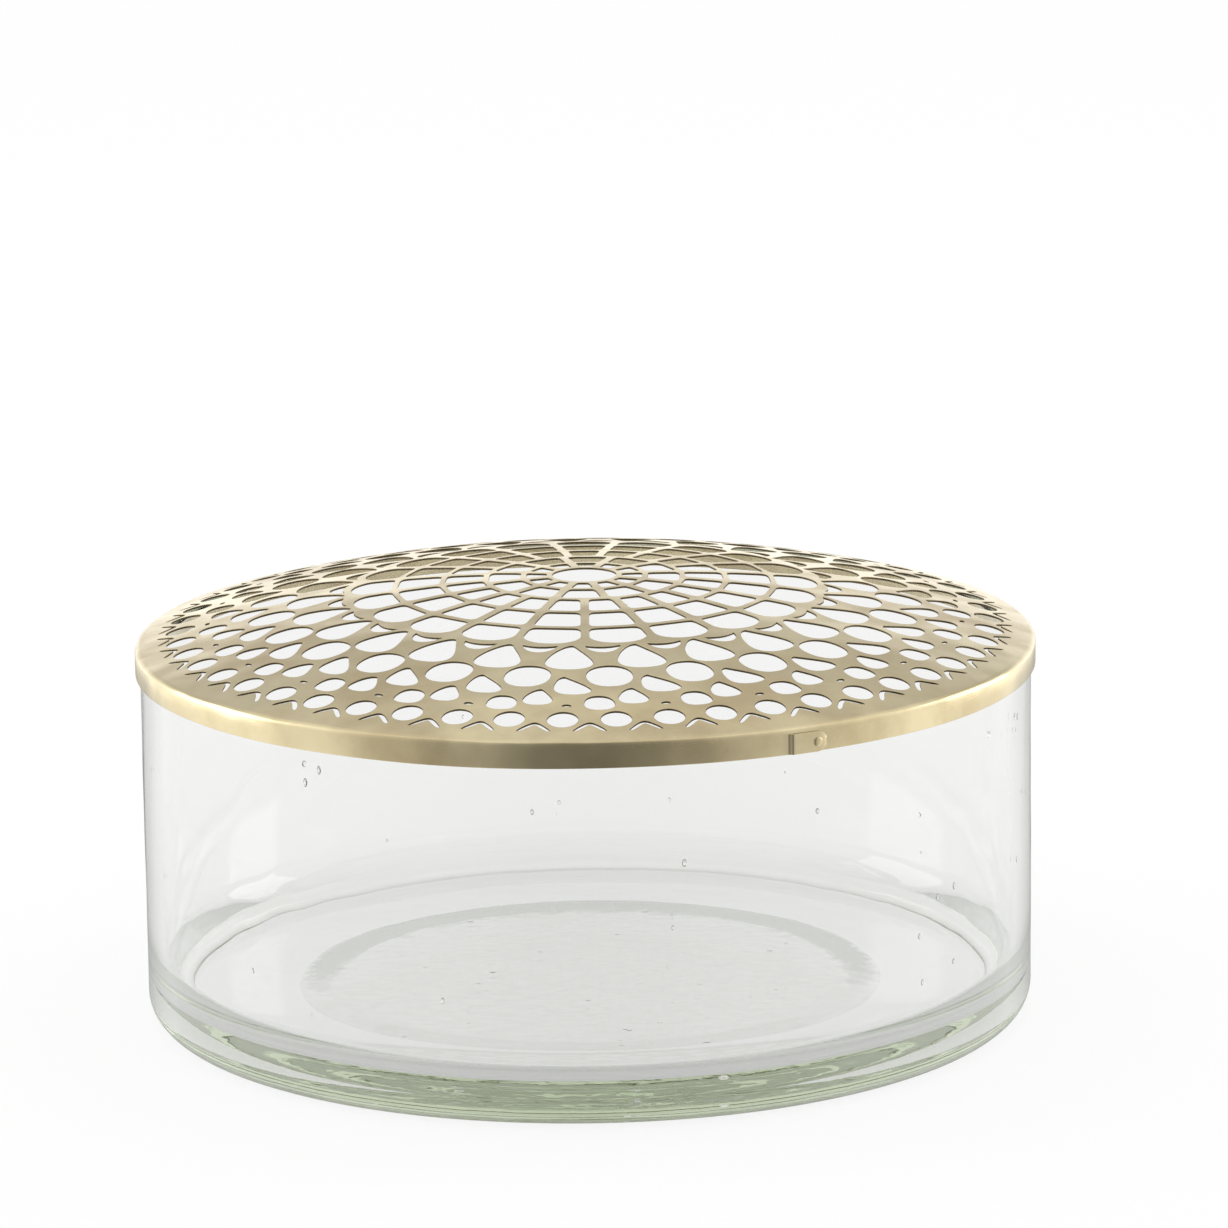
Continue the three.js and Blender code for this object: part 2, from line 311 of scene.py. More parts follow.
@dataclass(frozen=True)
class ClearGlass:
    """Clear glass with a faint green in its depth and an uneven, slightly pebbled base."""

    name: str = "clear_glass"
    refraction: float = 1.5
    roughness: float = 0.0
    tint: Triple = (0.74, 0.79, 0.66)
    tint_per_metre: float = 12.0
    pebble_scale: float = 150.0
    pebble_detail: float = 2.0
    pebble_height: float = 0.08 * MM
    base_top: float = 12 * MM

    def material(self) -> Material:
        """Build the material: clear refraction, absorption by depth and a bump that fades out above the base.

        Returns:
            The material.
        """
        material, graph = new_material(self.name)
        place = graph.node("ShaderNodeTexCoord").outputs["Object"]
        pebbles = graph.noise(place, self.pebble_scale, self.pebble_detail)
        low = graph.span(graph.axis(place, "Z"), self.base_top, 0, shape="SMOOTHSTEP")
        height = graph.maths("MULTIPLY", pebbles, low)
        bump = graph.node("ShaderNodeBump", {"Distance": self.pebble_height, "Height": height})
        looks = {
            "Base Color": grey(1),
            "Roughness": self.roughness,
            "IOR": self.refraction,
            "Transmission Weight": 1,
            "Normal": bump.outputs["Normal"],
        }
        shader = graph.node("ShaderNodeBsdfPrincipled", looks)
        tint = {"Color": (*self.tint, 1), "Density": self.tint_per_metre}
        depth = graph.node("ShaderNodeVolumeAbsorption", tint)
        graph.node("ShaderNodeOutputMaterial", {"Surface": shader.outputs[0], "Volume": depth.outputs[0]})
        return material


@dataclass(frozen=True)
class BrassWear:
    """The shared node group of the brass: clouds of tarnish, fine brushing, soft dents and painted shade on
    the hole walls.
    """

    cloud_scale: float = 28.0
    cloud_detail: float = 5.0
    cloud_roughness: float = 0.6
    veil: Pair = (0.38, 0.68)
    brush_scale: float = 1.0
    brush_detail: float = 3.0
    dent_scale: float = 60.0
    dent_detail: float = 1.0
    dent_height: float = 45.0
    rough_by_veil: float = 0.10
    rough_by_brush: float = 0.08
    rough_by_cut: float = 0.3

    NAME: ClassVar[str] = "brass_wear"
    # Name of the point attribute that carries the share of painted shade on the hole walls.
    WALL_SHADE: ClassVar[str] = "wall_shade"
    INPUTS: ClassVar[dict[str, str]] = {
        "Place": "Vector", "Brushed Place": "Vector", "Bright": "Color", "Tarnished": "Color",
        "Satin": "Float", "Cut": "Float", "Wall Shade Color": "Color",
    }
    OUTPUTS: ClassVar[dict[str, str]] = {"Color": "Color", "Roughness": "Float", "Height": "Float"}

    def group(self) -> bpy.types.NodeTree:
        """Build the node group, once.

        Brushed Place is stretched along the brushing, Satin is the least roughness, Cut is the share of
        painted shade on a hole's wall, and Height is for a bump.

        Returns:
            The shader node group.
        """
        if self.NAME in bpy.data.node_groups:
            return bpy.data.node_groups[self.NAME]
        tree = bpy.data.node_groups.new(self.NAME, "ShaderNodeTree")
        for way, sockets in {"INPUT": self.INPUTS, "OUTPUT": self.OUTPUTS}.items():
            for name, kind in sockets.items():
                tree.interface.new_socket(name, in_out=way, socket_type=f"NodeSocket{kind}")
        graph = Graph(tree)
        given = graph.node("NodeGroupInput").outputs
        clouds = graph.noise(given["Place"], self.cloud_scale, self.cloud_detail, self.cloud_roughness)
        brushing = graph.noise(given["Brushed Place"], self.brush_scale, self.brush_detail)
        dents = graph.noise(given["Place"], self.dent_scale, self.dent_detail)
        veil = graph.span(clouds, *self.veil)
        metal = graph.mix(veil, given["Bright"], given["Tarnished"])
        rough = graph.maths("MULTIPLY_ADD", veil, self.rough_by_veil, given["Satin"])
        rough = graph.maths("MULTIPLY_ADD", brushing, self.rough_by_brush, rough)
        results = {
            # Painted shade: where Cut is set, the hole walls take a dark colour in place of the metal's.
            "Color": graph.mix(given["Cut"], metal, given["Wall Shade Color"]),
            "Roughness": graph.maths("MULTIPLY_ADD", given["Cut"], self.rough_by_cut, rough),
            "Height": graph.maths("MULTIPLY_ADD", dents, self.dent_height, brushing),
        }
        graph.node("NodeGroupOutput", results)
        return tree


@dataclass(frozen=True)
class SatinBrass:
    """Pale satin brass, brushed along one direction of the piece's place."""

    name: str
    brushing: Triple
    bright: Triple = (0.745, 0.643, 0.405)
    tarnished: Triple = (0.52, 0.415, 0.235)
    # Painted shade: the dark colour that the hole walls are darkened to.
    wall_shade: Triple = (0.17, 0.135, 0.085)
    satin: float = 0.18
    brush_depth: float = 0.02 * MM

    def material(self) -> Material:
        """Build the material from the shared wear group.

        Returns:
            The material.
        """
        material, graph = new_material(self.name)
        place = graph.node("ShaderNodeTexCoord").outputs["Object"]
        stretched = graph.node("ShaderNodeMapping", {"Vector": place, "Scale": self.brushing})
        reads = {
            "Place": place,
            "Brushed Place": stretched.outputs[0],
            "Bright": (*self.bright, 1),
            "Tarnished": (*self.tarnished, 1),
            "Satin": self.satin,
            # The share and the colour of the painted shade on the hole walls.
            "Cut": graph.node("ShaderNodeAttribute", attribute_name=BrassWear.WALL_SHADE).outputs["Fac"],
            "Wall Shade Color": (*self.wall_shade, 1),
        }
        wear = graph.node("ShaderNodeGroup", reads, node_tree=BrassWear().group())
        bump = graph.node("ShaderNodeBump", {"Distance": self.brush_depth, "Height": wear.outputs["Height"]})
        looks = {
            "Base Color": wear.outputs["Color"],
            "Metallic": 1,
            "Roughness": wear.outputs["Roughness"],
            "Normal": bump.outputs["Normal"],
        }
        shader = graph.node("ShaderNodeBsdfPrincipled", looks)
        graph.node("ShaderNodeOutputMaterial", {"Surface": shader.outputs[0]})
        return material


def dress(piece: Object, finish: ClearGlass | SatinBrass, body: Body, slot: Slot, *nodes: str) -> Object:
    """Give a piece its finish and its body, and hide the CAD nodes that it stands for.

    Args:
        piece: The mesh object.
        finish: Its finish.
        body: The body that it rides on.
        slot: Its material slot in the record. It is not used.
        *nodes: The CAD nodes.

    Returns:
        The piece.
    """
    piece.data.materials.append(finish.material())
    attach(piece, body.value)
    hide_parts(*nodes)
    return piece


# Sub-assemblies


@dataclass
class GlassVessel:
    """The low round bowl: a thick base with a shallow recess under it, a straight wall and a polished rim."""

    radius: float
    height: float
    wall: float = 4.3 * MM
    floor: float = 9 * MM
    heel: float = 7 * MM
    inner_corner: float = 10 * MM
    recess_radius: float = 69 * MM
    recess_depth: float = 1.2 * MM
    recess_slope: float = 10 * MM
    columns: int = 480
    under_points: int = 14
    slope_points: int = 9
    foot_points: int = 8
    heel_points: int = 14
    outer_points: int = 24
    lip_points: int = 16
    inner_points: int = 22
    corner_points: int = 16
    floor_points: int = 22
    ripple: float = 0.06 * MM
    wall_waves: Waves = ((1, 3, 9, 0), (0.7, 7, -5, 1), (0.4, 0, 30, 0))
    floor_waves: Waves = ((1, 0, 260, 0), (0.8, 4, 120, 0), (0.6, 9, -190, 0))
    streak_depth: float = 0.9
    streaks: int = 43
    streak_sway: Pair = (2, 4)
    streak_bundles: Waves = ((1, 5, 0, 2),)
    wave_fade: float = 0.5
    wall_from: float = 0.9
    wall_full: float = 0.95
    floor_band: float = 0.2
    seed: int = 11
    wall_seeds: int = 44
    floor_seeds: int = 32
    seed_depth: Pair = (0.3, 0.7)
    seed_spread: Pair = (0.02, 0.45)
    seed_size: Pair = (0.2 * MM, 0.55 * MM)
    seed_stretch: Pair = (1.0, 2.2)
    seed_thickest: float = 0.25
    seed_columns: int = 10
    seed_rows: int = 7
    finish: ClearGlass = ClearGlass()

    def section(self) -> Array:
        """Draw the half section, from the middle of the underside round the rim to the middle of the floor.

        Returns:
            Rows of radius and height.
        """
        rim, inside = self.wall / 2, self.radius - self.wall
        lip, bottom = self.height - rim, self.floor + self.inner_corner
        foot, corner = self.radius - self.heel, inside - self.inner_corner
        share = np.linspace(0, 1, self.slope_points)
        slope = self.recess_radius + (share - 1) * self.recess_slope
        parts = [
            np.linspace((0, self.recess_depth), (slope[0], self.recess_depth), self.under_points),
            np.stack([slope, self.recess_depth * (1 - ease(share))], -1),
            np.linspace((self.recess_radius, 0), (foot, 0), self.foot_points),
            arc((foot, self.heel), self.heel, -90, 0, self.heel_points),
            np.linspace((self.radius, self.heel), (self.radius, lip), self.outer_points),
            arc((self.radius - rim, lip), rim, 0, 180, self.lip_points),
            np.linspace((inside, lip), (inside, bottom), self.inner_points),
            arc((corner, bottom), self.inner_corner, 0, -90, self.corner_points),
            np.linspace((corner, self.floor), (0, self.floor), self.floor_points),
        ]
        return np.concatenate([parts[0][:1], *(part[1:] for part in parts)])

    def uneven(self, vertices: Array) -> Array:
        """Move points of the wall and the floor by the slow waves of hand-worked glass.

        The wall's radius follows a sum of waves in angle and height, with fine streaks that grow towards the
        rim, and the floor's height follows rings and lobes in plan. The waves fade to nothing at the rim, at
        the foot and on the axis.

        Args:
            vertices: The smooth vessel's points.

        Returns:
            The moved points.
        """
        x, y, z = vertices.T
        radius, angle = np.hypot(x, y), np.arctan2(x, -y)
        share = np.clip(z / self.height, 0, 1)
        sway, climb = self.streak_sway
        streak = np.sin(self.streaks * angle + sway * np.sin(climb * share))
        streak *= self.streak_depth * share**2 * waves(self.streak_bundles, angle, 0)
        fade = np.sin(np.pi * share) ** self.wave_fade
        wide = (radius / self.radius - self.wall_from) / (self.wall_full - self.wall_from)
        out = self.ripple * (waves(self.wall_waves, angle, share) + streak) * fade * np.clip(wide, 0, 1)
        factor = 1 + out / np.maximum(radius, self.wall)
        at_floor = np.abs(z - self.floor) < self.floor_band * self.floor
        lift = self.ripple * waves(self.floor_waves, angle, radius) * (radius / self.radius)
        lift = np.where(at_floor & (radius < self.radius - 2 * self.wall), lift, 0)
        return np.stack([x * factor, y * factor, z + lift], -1)

    def bubbles(self) -> Surface:
        """Make small closed bubbles inside the wall and the base.

        Each is an ellipsoid (a cos u cos v, b sin u cos v, c sin v) drawn out along the glass, with its faces
        turned inwards because it is a hollow in the glass.

        Returns:
            Vertices and triangles of all bubbles.
        """
        rng = np.random.default_rng(self.seed)
        count = self.wall_seeds + self.floor_seeds
        in_wall = np.arange(count) < self.wall_seeds
        angle = rng.uniform(0, TURN, count)
        depth = rng.uniform(*self.seed_depth, count)
        spread = self.radius * np.sqrt(rng.uniform(*self.seed_spread, count))
        climb = rng.uniform(self.floor + self.inner_corner, self.height - 2 * self.wall, count)
        size = rng.uniform(*self.seed_size, count)
        long = size * rng.uniform(*self.seed_stretch, count)
        thin = np.minimum(size, self.seed_thickest * self.wall)
        in_base = self.recess_depth + depth * (self.floor - self.recess_depth)
        radius = np.where(in_wall, self.radius - depth * self.wall, spread)
        height = np.where(in_wall, climb, in_base)
        half_sizes = np.where(in_wall, [size, thin, long], [long, long, thin]).T
        u = around(self.seed_columns)
        v = np.linspace(-np.pi / 2, np.pi / 2, self.seed_rows)[:, None]
        ball = np.stack([np.cos(v) * np.cos(u), np.cos(v) * np.sin(u), np.sin(v) + 0 * u], -1).reshape(-1, 3)
        flat, one = 0 * angle, 1 + 0 * angle
        across, outward = [np.cos(angle), np.sin(angle), flat], [np.sin(angle), -np.cos(angle), flat]
        axes = np.array([across, outward, [flat, flat, one]]).transpose(2, 0, 1)
        centre = np.column_stack([plan(radius, angle), height])
        points = centre[:, None] + (ball * half_sizes[:, None]) @ axes
        inward = quads_to_triangles(grid_quads(self.seed_rows, self.seed_columns, True))[:, ::-1]
        return points.reshape(-1, 3), (inward + len(ball) * np.arange(count)[:, None, None]).reshape(-1, 3)

    def build(self) -> Object:
        """Make the vessel with its bubbles and dress it.

        Returns:
            The piece.
        """
        vertices, triangles = lathe(self.section(), self.columns)
        bubbles, bubble_faces = self.bubbles()
        points = np.concatenate([self.uneven(vertices), bubbles])
        piece = mesh_object("vessel_glass", points, np.concatenate([triangles, bubble_faces + len(vertices)]))
        return dress(piece, self.finish, Body.VESSEL, Slot.GLASS, "glass_vessel")


@dataclass(frozen=True)
class Egg:
    """An egg-shaped hole and its seat in the rosette.

    With s and c the sine and cosine of t raised to the power 2 / square, and i = (1 - c) / 2, which is 1 at
    the end nearer the middle, the outline is across = w s (1 + point c) (1 - waist i^2) + lean i^2 and
    along = l c, with the waist on one flank alone. So the inner end is drawn in and pushed sideways.

    The turn is the first hole's angle and the seat is the angle that spaces the rings, both in repeats. The
    reach is what the hole takes up towards its neighbours, and a neck replaces it on the inner side.
    """

    half_width: float
    half_length: float
    turn: float
    points: int
    seat: float = 0.0
    reach: float = 0.0
    neck: float = 0.0
    shift: float = 0.0
    point: float = 0.0
    lean: float = 0.0
    square: float = 2.0
    waist: float = 0.0

    def outline(self) -> Array:
        """Draw the outline.

        Returns:
            Rows of across and along.
        """
        t = around(self.points)
        s, c = bent(np.sin(t), 2 / self.square), bent(np.cos(t), 2 / self.square)
        inner = (1 - c) / 2
        flank = 1 - np.where(s > 0, self.waist, 0) * inner**2
        across = self.half_width * s * (1 + self.point * c) * flank + self.lean * inner**2
        return np.stack([across, self.half_length * c], -1)


@dataclass(frozen=True)
class Moon:
    """A half-moon hole: across = w cos t, and along runs from the bow to the full height by sin t."""

    half_width: float = 4.1 * MM
    tall: float = 4.1 * MM
    bow: float = 1.2 * MM
    soft: float = 0.25 * MM
    fullness: float = 0.6
    turn: float = 0.28
    shift: float = 0.0
    points: int = 30

    def outline(self) -> Array:
        """Draw the outline.

        Returns:
            Rows of across and along.
        """
        t = around(self.points)
        crest = np.sin(t) ** 2
        along = np.where(np.sin(t) > 0, self.tall * crest**self.fullness, self.bow * crest)
        return np.stack([self.half_width * np.cos(t), along + self.soft * np.sin(t)], -1)


@dataclass(frozen=True)
class Slit:
    """A V slit that points to the middle, between two holes of the edge.

    With u from -1 to 1 its middle line is across = w u, along = h (u^2 + blunt)^(power / 2), and the outline
    runs at half the slit's width on both sides of it, drawn in towards the ends.
    """

    reach: float = 3.7 * MM
    height: float = 4.4 * MM
    width: float = 1.3 * MM
    power: float = 0.9
    blunt: float = 0.06
    taper: float = 0.9
    taper_power: int = 6
    turn: float = 0.53
    shift: float = 0.75 * MM
    points: int = 19

    def outline(self) -> Array:
        """Draw the outline.

        Returns:
            Rows of across and along.
        """
        u = np.linspace(-1, 1, self.points)
        line = np.stack([self.reach * u, self.height * (u * u + self.blunt) ** (self.power / 2)], -1)
        course = np.gradient(line, axis=0)
        course /= np.linalg.norm(course, axis=1, keepdims=True)
        half = self.width / 2 * np.sqrt(1 - self.taper * u**self.taper_power)
        side = np.stack([-course[:, 1], course[:, 0]], -1) * half[:, None]
        return np.concatenate([line + side, (line - side)[::-1]])


@dataclass(frozen=True)
class Cell:
    """A cell between two spokes of even width.

    Its outline is a superellipse laid on angle and radius. Its inner half has the power foot and its outer
    half the power crown, so a low crown makes a round arch.
    """

    points: int
    crown: float
    foot: float = 7.0
    spoke: float = 1.8 * MM

    def ring(self, inner: float, outer: float, turn: float, count: int) -> Array:
        """Draw a ring of cells.

        Args:
            inner: Radius of the inner edge.
            outer: Radius of the outer edge.
            turn: Angle of the first cell's middle.
            count: Number of cells.

        Returns:
            Outlines of shape (count, points, 2) in plan.
        """
        t = around(self.points) + TURN / 2 / self.points
        power = 2 / np.where(np.sin(t) > 0, self.crown, self.foot)
        radius = (inner + outer) / 2 + bent(np.sin(t), power) * (outer - inner) / 2
        half = np.pi / count - self.spoke / 2 / radius
        return plan(radius, turn + around(count)[:, None] + bent(np.cos(t), power) * half)


@dataclass(frozen=True)
class Rosette:
    """The lid's pattern: rings of holes, each one web inside the ring before it, round a web of spokes."""

    radius: float
    border: float = 7.1 * MM
    web: float = 1.15 * MM
    repeats: int = 25
    slit: Slit = Slit()
    edge: Egg = Egg(3.6 * MM, 3.6 * MM, 0.28, 28, seat=0.28, reach=3.6 * MM)
    dot: Egg = Egg(1.2 * MM, 0.7 * MM, 0.805, 14, shift=1.3 * MM)
    high: Egg = Egg(
        3.5 * MM, 3.4 * MM, 0.14, 32, seat=0.14, reach=3.6 * MM,
        point=0.1, lean=-0.3 * MM, square=2.4,
    )
    low: Egg = Egg(
        3.4 * MM, 3.9 * MM, 0.5, 32, seat=0.5, reach=3.5 * MM,
        shift=-0.2 * MM, point=0.3, lean=0.2 * MM, square=2.2, waist=0.6,
    )
    petal: Egg = Egg(
        4.1 * MM, 4.6 * MM, 0.87, 36, seat=0.845, reach=4.6 * MM, neck=2.856 * MM,
        point=0.36, lean=-2.2 * MM, square=2.2, waist=0.8,
    )
    large: Egg = Egg(5.35 * MM, 5.6 * MM, 0.29, 40, seat=0.28, reach=5.6 * MM, square=2.2)
    drop: Egg = Egg(
        5.2 * MM, 6.9 * MM, 0.785, 44, seat=0.78, reach=6.9 * MM,
        point=0.42, lean=0.2 * MM, square=2.2, waist=0.6,
    )
    moon: Moon = Moon()
    arch: Cell = Cell(points=52, crown=2.1)
    arches: int = 21
    arch_height: float = 10 * MM
    cell: Cell = Cell(points=40, crown=7.0)
    rows: int = 4
    row_growth: float = 1.28
    ring_width: float = 1.15 * MM
    inner_spokes: int = 12
    inner_turn: float = math.radians(12.8)
    middle: Egg = Egg(7.6 * MM, 7.6 * MM, 0.0, 72)

    def ring(self, hole: Egg | Moon | Slit, radius: float, count: int) -> Array:
        """Repeat a hole round the axis.

        Args:
            hole: The hole.
            radius: Its distance from the axis before its own shift.
            count: Number of holes.

        Returns:
            Outlines of shape (count, points, 2) in plan.
        """
        across, along = hole.outline().T
        along = along + radius + hole.shift
        angle = (hole.turn * TURN / self.repeats + around(count))[:, None]
        x = along * np.sin(angle) + across * np.cos(angle)
        y = -along * np.cos(angle) + across * np.sin(angle)
        return np.stack([x, y], -1)

    def inside(self, radius: float, outer: Egg, inner: Egg) -> float:
        """Find the radius of a ring whose holes clear those of a ring outside it by one web.

        Args:
            radius: Radius of the outer ring.
            outer: Its holes.
            inner: Holes of the inner ring.

        Returns:
            The inner ring's radius.
        """
        apart = (outer.neck or outer.reach) + inner.reach + self.web
        seats = abs(outer.seat - inner.seat)
        turn = min(seats, 1 - seats) * TURN / self.repeats
        chord = radius * math.sin(turn)
        return radius * math.cos(turn) - math.sqrt(max(apart**2 - chord**2, 0))

    def rings(self) -> list[Array]:
        """Draw all rings of holes from the edge to the middle.

        Returns:
            The rings' outlines.
        """
        edge = self.radius - self.border - self.edge.reach
        high = self.inside(edge, self.edge, self.high)
        low = self.inside(high, self.high, self.low)
        petal = min(self.inside(high, self.high, self.petal), self.inside(low, self.low, self.petal))
        large = min(self.inside(petal, self.petal, self.large), self.inside(low, self.low, self.large))
        drop = self.inside(large, self.large, self.drop)
        moon = drop - self.drop.reach
        arch = moon - self.web - self.arch_height
        n = self.repeats
        placed = (
            (self.slit, edge, 2 * n), (self.edge, edge, 2 * n), (self.dot, high, n), (self.high, high, n),
            (self.low, low, n), (self.petal, petal, n), (self.large, large, n), (self.drop, drop, n),
            (self.moon, moon, n),
        )
        rings = [self.ring(*place) for place in placed]
        rings.append(self.arch.ring(arch, arch + self.arch_height, math.pi / self.arches, self.arches))
        start = self.middle.half_width + self.ring_width
        bounds = start + (arch - start) * np.linspace(0, 1, self.rows + 1) ** self.row_growth
        for row, (inner, outer) in enumerate(zip(bounds, bounds[1:] - self.ring_width)):
            inner_half = row < self.rows / 2
            count = self.inner_spokes if inner_half else self.arches
            turn = self.inner_turn if inner_half else 0.0
            rings.append(self.cell.ring(inner, outer, turn + math.pi / count, count))
        return [*rings, self.ring(self.middle, 0, 1)]


@dataclass
class PiercedDome:
    """The domed sheet of the lid, pierced with the rosette and turned down at its edge.

    Seven loops follow each outline from the upper face over a rounded edge, down the wall and round to the
    lower face. The loops of a hole are rows of set-back and drop, in thicknesses of the sheet, and for each
    loop a share of painted shade darkens the hole's wall.
    """

    radius: float
    fold_height: float
    rise: float
    sheet: float = 0.5 * MM
    burr: float = 0.08 * MM
    fold_round: float = 1.0 * MM
    fold_set_back: float = 1.4
    fold_middle: float = 0.293
    fold_lip: float = 0.1
    edge_points: int = 480
    hole_loops: Stops = ((0.45, 0), (0.2, 0), (0.06, 0.06), (0, 0.2), (0, 0.86), (0.14, 1), (0.45, 1))
    # Share of painted shade on the hole's wall for each loop.
    wall_shade_share: tuple[float, ...] = (0, 0, 0.3, 1, 1, 0.5, 0)
    finish: SatinBrass = SatinBrass("dome_brass", brushing=(420, 40, 420))

    WITHIN_SIDES: ClassVar[int] = 1
    MERGE_BELOW: ClassVar[float] = 1e-6

    @property
    def turned_down(self) -> float:
        """Drop of the turned-down edge below the fold line, where the skirt begins."""
        return self.fold_round + self.fold_lip * self.sheet

    def height(self, radius: Array) -> Array:
        """Height of the upper face: a sphere through the fold line, with the rise above it at the axis."""
        sphere = (self.radius**2 + self.rise**2) / (2 * self.rise)
        return self.fold_height + np.sqrt(sphere**2 - radius**2) - (sphere - self.rise)

    def loops(self) -> tuple[Array, Array]:
        """Set-back from the outline and drop below the upper face of each loop, from the top down.

        Returns:
            Rows for a hole, and for the edge, where the sheet turns down over a fold to meet the skirt.
        """
        bend, back = self.fold_round, self.fold_set_back * self.fold_round
        middle, low = self.fold_middle * bend, self.turned_down
        hole = self.sheet * np.array(self.hole_loops) - (self.burr, 0)
        over = [(back, 0), (bend, 0), (middle, middle), (0, bend)]
        return hole, np.array([*over, (0, low), (self.sheet, low), (back, self.sheet)])

    def sheet_faces(self, points: Array, after: Array, first: Array) -> Array:
        """Cut the flat sheet between its edge and its holes into triangles.

        The sheet lies to the left of every outline. So an anticlockwise triangle with all its corners on one
        outline lies in the hole where their indices run backwards, and in the sheet where they run forwards.

        Args:
            points: The outlines' points in plan, numbered along each outline.
            after: Index of each point's follower on its own outline.
            first: Index of the first point on its own outline.

        Returns:
            Corner indices, anticlockwise, without the triangles that lie in a hole.
        """
        sides = np.stack([np.arange(len(points)), after], -1).tolist()
        made = delaunay_2d_cdt((points / MM).tolist(), sides, [], self.WITHIN_SIDES, self.MERGE_BELOW)
        if len(made[0]) != len(points):
            raise ValueError("two outlines of the pierced sheet cross")
        corners = np.array(made[3])[:, 0][np.array(made[2])]
        alike = (first[corners] == first[corners[:, :1]]).all(1)
        backwards = (np.roll(corners, -1, 1) > corners).sum(1) == 1
        return corners[~(alike & backwards)]

    def build(self) -> Object:
        """Make the sheet and dress it.

        The flat sheet between the outlines is split into triangles once and used for both faces, and every
        point is then raised to the dome.

        Returns:
            The piece.
        """
        rings = [run(ring, True) for ring in Rosette(self.radius).rings()]
        rings.append(run(plan(self.radius, around(self.edge_points))[None], False))
        points = np.concatenate([ring.reshape(-1, 2) for ring in rings])
        count = len(points)
        here = np.arange(count)
        ends = np.cumsum([ring.size // 2 for ring in rings])
        loops = [part.reshape(ring.shape[:2]) for part, ring in zip(np.split(here, ends), rings)]
        after = np.concatenate([np.roll(loop, -1, 1).ravel() for loop in loops])
        first = np.concatenate([np.repeat(loop[:, 0], loop.shape[1]) for loop in loops])
        along = points[after] - points[np.argsort(after)]
        along /= np.linalg.norm(along, axis=1, keepdims=True)
        inward = np.stack([-along[:, 1], along[:, 0]], -1)
        at_fold = here >= count - self.edge_points
        hole, fold = self.loops()
        set_back, drop = np.where(at_fold, fold.T[..., None], hole.T[..., None])
        flat = points + inward * set_back[..., None]
        radius = np.minimum(np.hypot(flat[..., 0], flat[..., 1]), self.radius)
        vertices = np.concatenate([flat, (self.height(radius) - drop)[..., None]], -1).reshape(-1, 3)
        face = self.sheet_faces(flat[0], after, first)
        upper = count * np.arange(len(hole) - 1)[:, None]
        lower = upper + count
        strips = np.stack([lower + here, lower + after, upper + after, upper + here], -1).reshape(-1, 4)
        under = face[:, ::-1] + upper[-1] + count
        faces = np.concatenate([face, under, quads_to_triangles(strips)])
        piece = mesh_object("lid_pierced_dome", vertices, faces)
        # Painted shade on the hole walls, none round the fold.
        wall_shade = np.array(self.wall_shade_share, np.float32)[:, None] * ~at_fold
        piece.data.attributes.new(BrassWear.WALL_SHADE, "FLOAT", "POINT").data.foreach_set("value", wall_shade.ravel())
        return dress(piece, self.finish, Body.LID, Slot.BRASS, "lid_dome")


